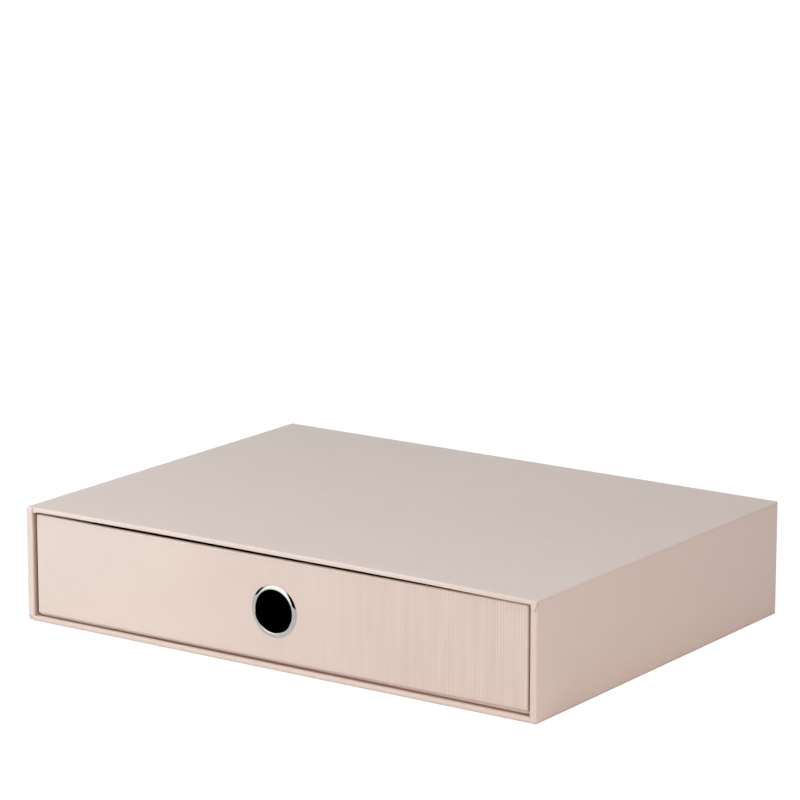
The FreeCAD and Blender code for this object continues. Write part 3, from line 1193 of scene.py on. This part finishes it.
@dataclass
class Facing:
    """The covered board on the drawer's front."""

    paper: float = 0.2 * MM
    edge: float = 1.3 * MM
    turn_in: float = 11.0 * MM
    back_fold: float = 0.25 * MM
    rib_height: float = 0.085 * MM
    per_rib: int = 6
    row_step: float = 3.6 * MM
    board_step: float = 12 * MM
    bends: int = 6
    corner_power: float = 3.5
    hole_radius: float = 12.65 * MM
    hole_sides: int = 96
    hole_reach: float = 2 * MM
    reach_left: float = 0.5 * MM
    shy_top: float = 0.05 * MM
    shy_foot: float = 0.52 * MM
    # Painted shade on the rounded edges, less on the top edge and heavy on the paper folded in behind;
    # painted highlight on the edges except along the foot.
    edge_dark: float = 0.35
    head_dark: float = 0.08
    fold_dark: float = 0.85
    dark_power: int = 5
    edge_highlight: float = 0.7
    rib_fade: Pair = (-75.0 * MM, 90.0 * MM)
    faintest: float = 0.12
    rib_depth: float = 0.78
    slow_drift: Ripple = Ripple(0.35, 18.0, 5.0, 3.1)
    quick_drift: Ripple = Ripple(0.22, 310.0, 9.0, 1.3)
    patches: Ripple = Ripple(0.6, 260.0, 26.0, 7.7)
    foot: Sequence[Pair] = ((-162.0, -0.20), (-117.0, -0.02), (-50.0, 0.10), (20.0, 0.30), (100.0, 0.58),
                            (130.0, 0.80), (162.0, 1.02))
    head: Sequence[Pair] = ((-162.0, 0.05), (-140.0, 0.00), (-117.0, -0.17), (-60.0, -0.09), (0.0, -0.02),
                            (115.0, 0.27), (162.0, 0.32))

    def __post_init__(self) -> None:
        """Reads the facing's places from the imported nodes."""
        low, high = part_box("drawer_face_cover")
        self.left, self.right = low[0] - self.reach_left, high[0]
        self.front, self.back = low[1], high[1]
        self.low, self.high = low[2] + self.shy_foot, high[2] - self.shy_top
        self.centre, self.middle = (self.left + self.right) / 2, (self.low + self.high) / 2
        self.wide, self.tall = (self.right - self.left) / 2, (self.high - self.low) / 2
        ring_low, ring_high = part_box("finger_ring")
        self.ring_x, self.ring_z = (ring_low[0] + ring_high[0]) / 2, (ring_low[2] + ring_high[2]) / 2

    def _lines(self, low: float, high: float, step: float) -> list[Pair]:
        """Grid lines from one edge to the other.

        Args:
            low: place of the first edge.
            high: place of the other edge.
            step: spacing on the flat.

        Returns:
            (place, turn) of each line, where turn is 1 at an edge and 0 on the flat.
        """
        angles = quarter(self.bends)[:-1]
        start = [(low + self.edge * (1 - math.cos(a)), math.cos(a)) for a in angles]
        end = [(high - self.edge * (1 - math.cos(a)), math.cos(a)) for a in reversed(angles)]
        flat = high - low - 2 * self.edge
        count = max(1, round(flat / step))
        middle = [(low + self.edge + flat * place / count, 0.0) for place in range(count + 1)]
        return start + middle + end

    def rib(self, x: float, z: float) -> float:
        """Height of the pressed ribs.

        Args:
            x: place across the facing.
            z: place up it.

        Returns:
            From 0 in a groove to about 1 on a rib.
        """
        drift = self.slow_drift.at(x, z) + self.quick_drift.at(x, z)
        wave = 0.5 + 0.5 * math.cos(math.tau * (x / RIB_PITCH + drift))
        return wave * (self.rib_depth + self.patches.at(x, z)) * self._grown(x)

    def _grown(self, x: float) -> float:
        """How crisp the ribs are, from faint at the left to full at the right."""
        start, end = self.rib_fade
        return self.faintest + (1 - self.faintest) * held((x - start) / (end - start))

    def cover(self) -> Piece:
        """Ribbed cover paper over the facing, folded in behind it, with the punched hole.

        Returns:
            The cover.
        """
        columns = self._lines(self.left, self.right, RIB_PITCH / self.per_rib)
        rows = self._lines(self.low, self.high, self.row_step)
        points: list[Vector] = []
        stored: dict[str, list[float]] = {"painted_shade": [], "painted_highlight": [], "groove": []}
        for z, turn_z in rows:
            foot, head = (turn_z > 0 and z < self.ring_z), (turn_z > 0 and z > self.ring_z)
            for x, turn_x in columns:
                turn, low = self._turned(turn_x, turn_z), 1 - self.rib(x, z)
                flat = math.sqrt(1 - turn * turn)
                y = self.front + self.edge * (1 - flat) + self.rib_height * low * flat
                points.append(Vector((x, y, z + self._lean(x, z))))
                # Painted shade on the rounded edges, painted highlight on them except along the foot, and the
                # depth of the rib grooves, which paints shade in them.
                dark = self.head_dark if head else self.edge_dark
                stored["painted_shade"].append(dark * turn ** self.dark_power)
                stored["painted_highlight"].append(0.0 if foot else self.edge_highlight * math.sin(math.pi * turn))
                stored["groove"].append(low * flat * self._grown(x))
        faces = self._grid(len(columns), len(rows)) + self._sides(points, self._rim(len(columns), len(rows)))
        # The paper down the edges and folded in behind gets heavy painted shade.
        added = len(points) - len(stored["painted_shade"])
        for label, value in (("painted_shade", self.fold_dark), ("painted_highlight", 0.0), ("groove", 0.0)):
            stored[label] += [value] * added
        piece = new_piece("drawer_facing_cover", points, faces, **stored)
        thicken(piece, self.paper)
        self._punch(piece)
        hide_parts("drawer_face_cover")
        return piece

    def board(self) -> Piece:
        """The facing's board, a paper's thickness inside the cover, with its hole.

        Returns:
            The board.
        """
        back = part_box("drawer_face_board")[1][1]
        columns = self._lines(self.left, self.right, self.board_step)
        rows = self._lines(self.low, self.high, self.board_step)
        points: list[Vector] = []
        for z, turn_z in rows:
            for x, turn_x in columns:
                turn = self._turned(turn_x, turn_z)
                deep = self.edge * (1 - math.sqrt(1 - turn * turn)) + self.paper + self.rib_height
                x_in, z_in = self._inward(x, z, self.paper * turn)
                points.append(Vector((x_in, self.front + deep, z_in + self._lean(x, z))))
        rim = self._rim(len(columns), len(rows))
        behind = list(range(len(points), len(points) + len(rim)))
        points += [Vector((points[number].x, back, points[number].z)) for number in rim]
        faces = self._grid(len(columns), len(rows)) + band(rim, behind) + [tuple(reversed(behind))]
        piece = new_piece("drawer_facing_board", points, faces)
        face_outward(piece)
        self._punch(piece)
        shade(piece, False)
        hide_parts("drawer_face_board")
        return piece

    def _inward(self, x: float, z: float, inset: float) -> Pair:
        """A place on the facing drawn in toward its middle, by the inset at an edge."""
        return (self.centre + (x - self.centre) * (self.wide - inset) / self.wide,
                self.middle + (z - self.middle) * (self.tall - inset) / self.tall)

    def _lean(self, x: float, z: float) -> float:
        """How far the facing's edges hang off level at a place."""
        share = (z - self.low) / (self.high - self.low)
        return ((1 - share) * through(self.foot, x / MM) + share * through(self.head, x / MM)) * MM

    def _turned(self, across: float, upward: float) -> float:
        """Joins the turn of a column and of a row, so that the facing's corners come out rounded."""
        power = self.corner_power
        return min(1.0, (across ** power + upward ** power) ** (1 / power))

    @staticmethod
    def _grid(wide: int, tall: int) -> list[Face]:
        """Faces of a grid of points seen from the front.

        Args:
            wide: points in a row.
            tall: number of rows.

        Returns:
            One face for each cell.
        """
        corners = [row * wide + column for row in range(tall - 1) for column in range(wide - 1)]
        return [(corner, corner + 1, corner + wide + 1, corner + wide) for corner in corners]

    @staticmethod
    def _rim(wide: int, tall: int) -> list[int]:
        """Vertex numbers round a grid's edge, turning left seen from the front.

        Args:
            wide: points in a row.
            tall: number of rows.

        Returns:
            The numbers, from the first one on.
        """
        return (list(range(wide))
                + [row * wide + wide - 1 for row in range(1, tall)]
                + [(tall - 1) * wide + column for column in range(wide - 2, -1, -1)]
                + [row * wide for row in range(tall - 2, 0, -1)])

    def _sides(self, points: list[Vector], rim: list[int]) -> list[Face]:
        """Adds the loops that take the paper down the facing's edges and in behind it.

        Args:
            points: vertex places, added to.
            rim: vertex numbers round the facing's edge, turning left seen from the front.

        Returns:
            Faces between the loops.
        """
        fold, back, part = self.back_fold, self.back, 0.3
        faces, before = [], rim
        for inset, y in ((0.0, back - fold), (fold * part, back - fold * part), (fold, back),
                         (self.turn_in * part, back), (self.turn_in, back)):
            after = list(range(len(points), len(points) + len(rim)))
            for number in rim:
                x, z = self._inward(points[number].x, points[number].z, inset)
                points.append(Vector((x, y, z)))
            faces += band(before, after)
            before = after
        return faces

    def _punch(self, piece: Piece) -> None:
        """Cuts the finger hole, under the ring's flange.

        Args:
            piece: the cover or the board.
        """
        count = self.hole_sides
        points = [(self.ring_x + self.hole_radius * math.cos(math.tau * step / count), y,
                   self.ring_z + self.hole_radius * math.sin(math.tau * step / count))
                  for y in (self.front - self.hole_reach, self.back + self.hole_reach)
                  for step in range(count)]
        ends = [tuple(range(count)), tuple(range(2 * count - 1, count - 1, -1))]
        cutter = new_piece("hole_cutter", points, loops_to_faces(2, count) + ends)
        cut = piece.modifiers.new("hole", "BOOLEAN")
        cut.operation, cut.object, cut.solver = "DIFFERENCE", cutter, "EXACT"
        settle(piece)
        bpy.data.objects.remove(cutter, do_unlink=True)
        shade(piece, True)


@dataclass
class FingerRing:
    """Polished eyelet in the finger hole."""

    sheet: float = 0.45 * MM
    roll: float = 0.70 * MM
    swell: float = 11.0
    slope_steps: int = 10
    width: float = 2.62 * MM
    spread: float = -0.10 * MM
    stand: float = 0.16 * MM
    off_centre: Pair = (0.32 * MM, 0.33 * MM)
    oval: Pair = (1.010, 0.984)
    rim: float = 0.14 * MM
    around: int = 144
    bend: float = 10.0
    flare: float = 60.0
    slope_clear: float = 0.25
    bore_shares: Sequence[float] = (0.25, 0.6, 0.9, 1.0)

    def __post_init__(self) -> None:
        """Reads the ring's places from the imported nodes."""
        low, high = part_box("finger_ring")
        self.x = (low[0] + high[0]) / 2 + self.off_centre[0]
        self.z = (low[2] + high[2]) / 2 + self.off_centre[1]
        self.front, self.back = low[1] - self.stand, high[1]
        self.flange = (high[0] - low[0]) / 2 + self.spread
        self.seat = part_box("drawer_face_cover")[0][1]
        self.bore = self.flange - self.width

    def _profile(self) -> list[Pair]:
        """The seen side of the metal, from the flange's rim up its slope, over the crest into the bore.

        Returns:
            (radius, y) of each point.
        """
        crest = self.bore + self.roll
        run = self.flange - crest - self.roll * self.slope_clear
        drop = self.seat - self.rim - self.front
        middle, half = math.atan2(drop, run), math.radians(self.swell)
        slope = math.hypot(run, drop) / (2 * math.sin(half))
        low, high = middle - half, middle + half
        start_x, start_y = crest + self.roll * math.sin(low), self.front + self.roll * (1 - math.cos(low))
        places = [(self.flange, self.seat)]
        for step in range(self.slope_steps + 1):
            angle = high - 2 * half * step / self.slope_steps
            places.append((start_x + slope * (math.sin(angle) - math.sin(low)),
                           start_y + slope * (math.cos(low) - math.cos(angle))))
        steps = round((90 + math.degrees(low)) / self.bend)
        for step in range(1, steps + 1):
            angle = low - (math.pi / 2 + low) * step / steps
            places.append((crest + self.roll * math.sin(angle),
                           self.front + self.roll * (1 - math.cos(angle))))
        start, turn = self.front + self.roll, self.back - self.roll * math.sin(math.radians(self.flare))
        places += [(self.bore, start + (turn - start) * share) for share in self.bore_shares]
        for step in range(1, round(self.flare / self.bend) + 1):
            angle = math.radians(self.bend * step)
            places.append((self.bore + self.roll * (1 - math.cos(angle)), turn + self.roll * math.sin(angle)))
        return places

    def body(self) -> Piece:
        """The ring, turned from its profile.

        Returns:
            The ring.
        """
        seen = self._profile()
        hidden = []
        for index, (radius, y) in enumerate(seen):
            ahead, behind = seen[min(index + 1, len(seen) - 1)], seen[max(index - 1, 0)]
            step = Vector((ahead[0] - behind[0], ahead[1] - behind[1])).normalized()
            across = Vector((-step.y, step.x)) * -self.sheet
            deep = y + across.y
            hidden.append((radius + across.x, min(deep, self.seat) if index <= self.slope_steps else deep))
        outline = seen + hidden[::-1]
        points = []
        for step in range(self.around):
            angle = math.tau * step / self.around
            points += [Vector((self.x + radius * self.oval[0] * math.cos(angle), y,
                               self.z + radius * self.oval[1] * math.sin(angle))) for radius, y in outline]
        piece = new_piece("finger_ring_polished", points,
                          loops_to_faces(self.around, len(outline), wrapped=True))
        face_outward(piece)
        piece.modifiers.new("smooth", "WEIGHTED_NORMAL")
        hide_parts("finger_ring")
        return piece


# ---------------------------------------------------------------- dressing

class Body(Enum):
    """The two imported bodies."""

    CASING = "casing"
    DRAWER = "drawer"


class Slot(Enum):
    """The record's material slots."""

    COVER = "cover_paper"
    LINING = "lining_paper"
    BOARD = "greyboard"
    TAPE = "gummed_tape"
    METAL = "ring_metal"


def dress(piece: Piece, material: Material) -> None:
    """Gives a piece its only material.

    Args:
        piece: the piece.
        material: its material.
    """
    piece.data.materials.clear()
    piece.data.materials.append(material)


def dress_nodes(names: Iterable[str], material: Material) -> None:
    """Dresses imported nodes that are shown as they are.

    Args:
        names: the nodes' names.
        material: their material.
    """
    for name in names:
        dress(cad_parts[name], material)
        log.info("%s: packed node in %s", name, material.name)


def mount(piece: Piece, body: Body, material: Material) -> None:
    """Dresses a new piece and lets it ride on its body.

    Args:
        piece: the piece.
        body: the body that carries it.
        material: its material.
    """
    dress(piece, material)
    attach(piece, body.value)
    log.info("%s: rides on %s in %s", piece.name, body.value, material.name)


# ---------------------------------------------------------------- studio

@dataclass(frozen=True)
class Softbox:
    """A square area light that mirrors don't show."""

    name: str
    place: Place
    aim: Place
    size: float
    watts: float
    colour: Triple

    def build(self) -> None:
        """Puts the light in the scene."""
        lamp = bpy.data.lights.new(self.name, "AREA")
        lamp.shape, lamp.size, lamp.energy, lamp.color = "SQUARE", self.size, self.watts, self.colour
        holder = put(self.name, lamp)
        holder.location = self.place
        holder.visible_glossy = False
        holder.rotation_euler = (Vector(self.aim) - Vector(self.place)).to_track_quat("-Z", "Y").to_euler()


@dataclass(frozen=True)
class Card:
    """A curved card round the box that only mirrors show: black, or glowing as a lit panel."""

    name: str
    azimuth: Pair
    elevation: Pair
    glow: float = 0.0
    distance: float = 2.2
    cells: int = 6

    def build(self) -> None:
        """Puts the card in the scene, hidden from the camera, diffuse light and shadows."""
        (left, right), (low, high) = self.azimuth, self.elevation
        steps = range(self.cells + 1)
        points = [toward(left + (right - left) * column / self.cells,
                         low + (high - low) * row / self.cells) * self.distance
                  for row in steps for column in steps]
        card = new_piece(self.name, points, loops_to_faces(len(steps), len(steps), closed=False))
        card.visible_camera = card.visible_diffuse = card.visible_shadow = False
        card.data.materials.append(start_material(
            self.name, Base_Color=BLACK, Specular_IOR_Level=0.0, Emission_Color=WHITE,
            Emission_Strength=self.glow)[0])


@dataclass(frozen=True)
class Viewpoint:
    """The camera: where it stands round the box and how it is aimed."""

    azimuth: float = 34.8312
    elevation: float = 12.7471
    roll: float = -0.0136
    distance: float = 2047.474 * MM
    aim_right: float = -1.717 * MM
    aim_up: float = 120.766 * MM
    focal_pixels: float = 3677.58
    picture: float = 800.0
    sensor: float = 36.0
    nearest: float = 0.05
    farthest: float = 60.0

    def build(self) -> None:
        """Puts the camera in the scene and makes it the scene's own."""
        back = toward(self.azimuth, self.elevation)
        turn, roll = math.radians(self.azimuth), Matrix.Rotation(math.radians(self.roll), 3, back)
        right = roll @ Vector((math.cos(turn), math.sin(turn), 0.0))
        above = back.cross(right)
        lens = bpy.data.cameras.new("camera")
        lens.sensor_width, lens.lens = self.sensor, self.focal_pixels / self.picture * self.sensor
        lens.clip_start, lens.clip_end = self.nearest, self.farthest
        camera = put("camera", lens)
        place = right * self.aim_right + above * self.aim_up + back * self.distance
        turned = Matrix((right, above, back)).transposed().to_4x4()
        camera.matrix_world = Matrix.Translation(place) @ turned
        bpy.context.scene.camera = camera


@dataclass(frozen=True)
class Studio:
    """Pale floor, soft light from all round, three softboxes and the cards that the metal mirrors."""

    floor_half: float = 14.0
    floor_drop: float = 0.1 * MM
    floor_tint: Colour = (0.82, 0.82, 0.82, 1.0)
    white: float = 1.05
    brightest: Place = (-0.45, -0.45, 0.77)
    tent: tuple[Colour, Colour] = ((0.580, 0.698, 0.790, 1.0), BLACK)
    mirrored: tuple[Colour, Colour] = ((1.05, 1.04, 1.0, 1.0), (0.95, 0.97, 0.95, 1.0))
    parts: Sequence[Softbox | Card | Viewpoint] = (
        Softbox("key", (-0.62, -0.84, 0.58), (0.0, -0.12, 0.03), 0.7, 4.835, (0.858, 0.994, 1.0)),
        Softbox("front", (2.0, -1.5, 0.80), (0.12, -0.05, 0.03), 1.1, 25.3, (1.0, 0.78, 0.646)),
        Softbox("top", (-0.3, -0.9, 1.9), (0.0, 0.0, 0.03), 1.2, 22.4, (0.942, 0.96, 1.0)),
        Card("card_right", (2.0, 92.0), (0.0, 60.0)),
        Card("card_left", (-125.0, -58.0), (0.0, 19.0)),
        Card("card_top", (-54.0, 2.0), (0.0, 62.0), 1.6),
        Viewpoint())

    def build(self) -> None:
        """Builds the floor, the surroundings, the lights and the camera."""
        half, z = self.floor_half, -self.floor_drop
        floor = new_piece("floor", [(-half, -half, z), (half, -half, z), (half, half, z), (-half, half, z)],
                          [(0, 1, 2, 3)])
        floor.data.materials.append(self._floor_material())
        self._surroundings()
        for part in self.parts:
            part.build()
        view = bpy.context.scene.view_settings
        view.view_transform, view.look = "Standard", "None"

    def _floor_material(self) -> Material:
        """White to the eye and a dull white bounce to everything else.

        Returns:
            The material.
        """
        material, graph, shader, _ = start_material("floor_white", Base_Color=self.floor_tint,
                                                    Roughness=1.0, Specular_IOR_Level=0.0)
        glow = graph.add("Emission", Color=WHITE, Strength=self.white).outputs[0]
        seen = graph.add("LightPath").outputs["Is Camera Ray"]
        output = next(node for node in graph.tree.nodes if node.type == "OUTPUT_MATERIAL")
        graph.give(output, Surface=graph.either(seen, shader.outputs["BSDF"], glow))
        return material

    def _surroundings(self) -> None:
        """A light tent, which metal mirrors as a brighter one and the camera sees as plain white."""
        world = bpy.data.worlds.new("tent")
        bpy.context.scene.world = world
        world.use_nodes = True
        graph = Graph(world.node_tree)
        lean = graph.add("VectorMath", operation="DOT_PRODUCT")
        graph.fill(lean, graph.add("TexCoord").outputs["Generated"], self.brightest)
        share = graph.line(lean.outputs["Value"], 0.5, 0.5)
        tent, mirrored = (graph.add("Background", Color=graph.blend(share, *colours)).outputs[0]
                          for colours in (self.tent, self.mirrored))
        white = graph.add("Background", Color=WHITE, Strength=self.white).outputs[0]
        ray = graph.add("LightPath").outputs
        unseen = graph.either(ray["Is Glossy Ray"], tent, mirrored)
        graph.add("OutputWorld", Surface=graph.either(ray["Is Camera Ray"], unseen, white))


# ---------------------------------------------------------------- the whole box

@dataclass(frozen=True)
class Shared:
    """The materials that both bodies are dressed in."""

    board: Material
    lining: Material


def build_casing(shared: Shared) -> None:
    """Builds and dresses the casing.

    Args:
        shared: the board and lining materials.
    """
    casing = Casing()
    wrapped = CoverPaper("cover_paper_round_casing", RibRun.STORED).material()
    flat = CoverPaper("cover_paper_flat", RibRun.INWARD).material()
    mount(casing.cover(), Body.CASING, wrapped)
    for name in casing.softened:
        mount(casing.softened_board(name), Body.CASING, shared.board)
    dress_nodes(casing.sheets, flat)
    dress_nodes(casing.linings, shared.lining)
    dress_nodes(casing.boards, shared.board)


def build_drawer(shared: Shared) -> None:
    """Builds and dresses the drawer with its ring.

    Args:
        shared: the board and lining materials.
    """
    faced = CoverPaper("cover_paper_facing", RibRun.PLAIN).material()
    walls = CoverPaper("cover_paper_tray", RibRun.ROUND_WALLS, FootShadow()).material()
    metal = PolishedMetal().material()
    facing = Facing()
    mount(facing.cover(), Body.DRAWER, faced)
    mount(facing.board(), Body.DRAWER, shared.board)
    mount(FingerRing().body(), Body.DRAWER, metal)
    dress_nodes(("finger_ring_washer",), metal)
    dress_nodes(("drawer_outer_wrap", "drawer_base_sheet"), walls)
    dress_nodes(("drawer_floor_lining", "drawer_wall_lining"), shared.lining)
    dress_nodes(("drawer_corner_stays",), GummedTape().material())
    dress_nodes(("drawer_left_board", "drawer_right_board", "drawer_front_board", "drawer_back_board",
                 "drawer_bottom_board"), shared.board)


def main() -> None:
    """Builds the file box and its studio."""
    logging.basicConfig(level=logging.INFO, format="%(message)s")
    shared = Shared(Greyboard().material(), LiningPaper().material())
    build_casing(shared)
    build_drawer(shared)
    Studio().build()


if __name__ == "__main__":
    main()
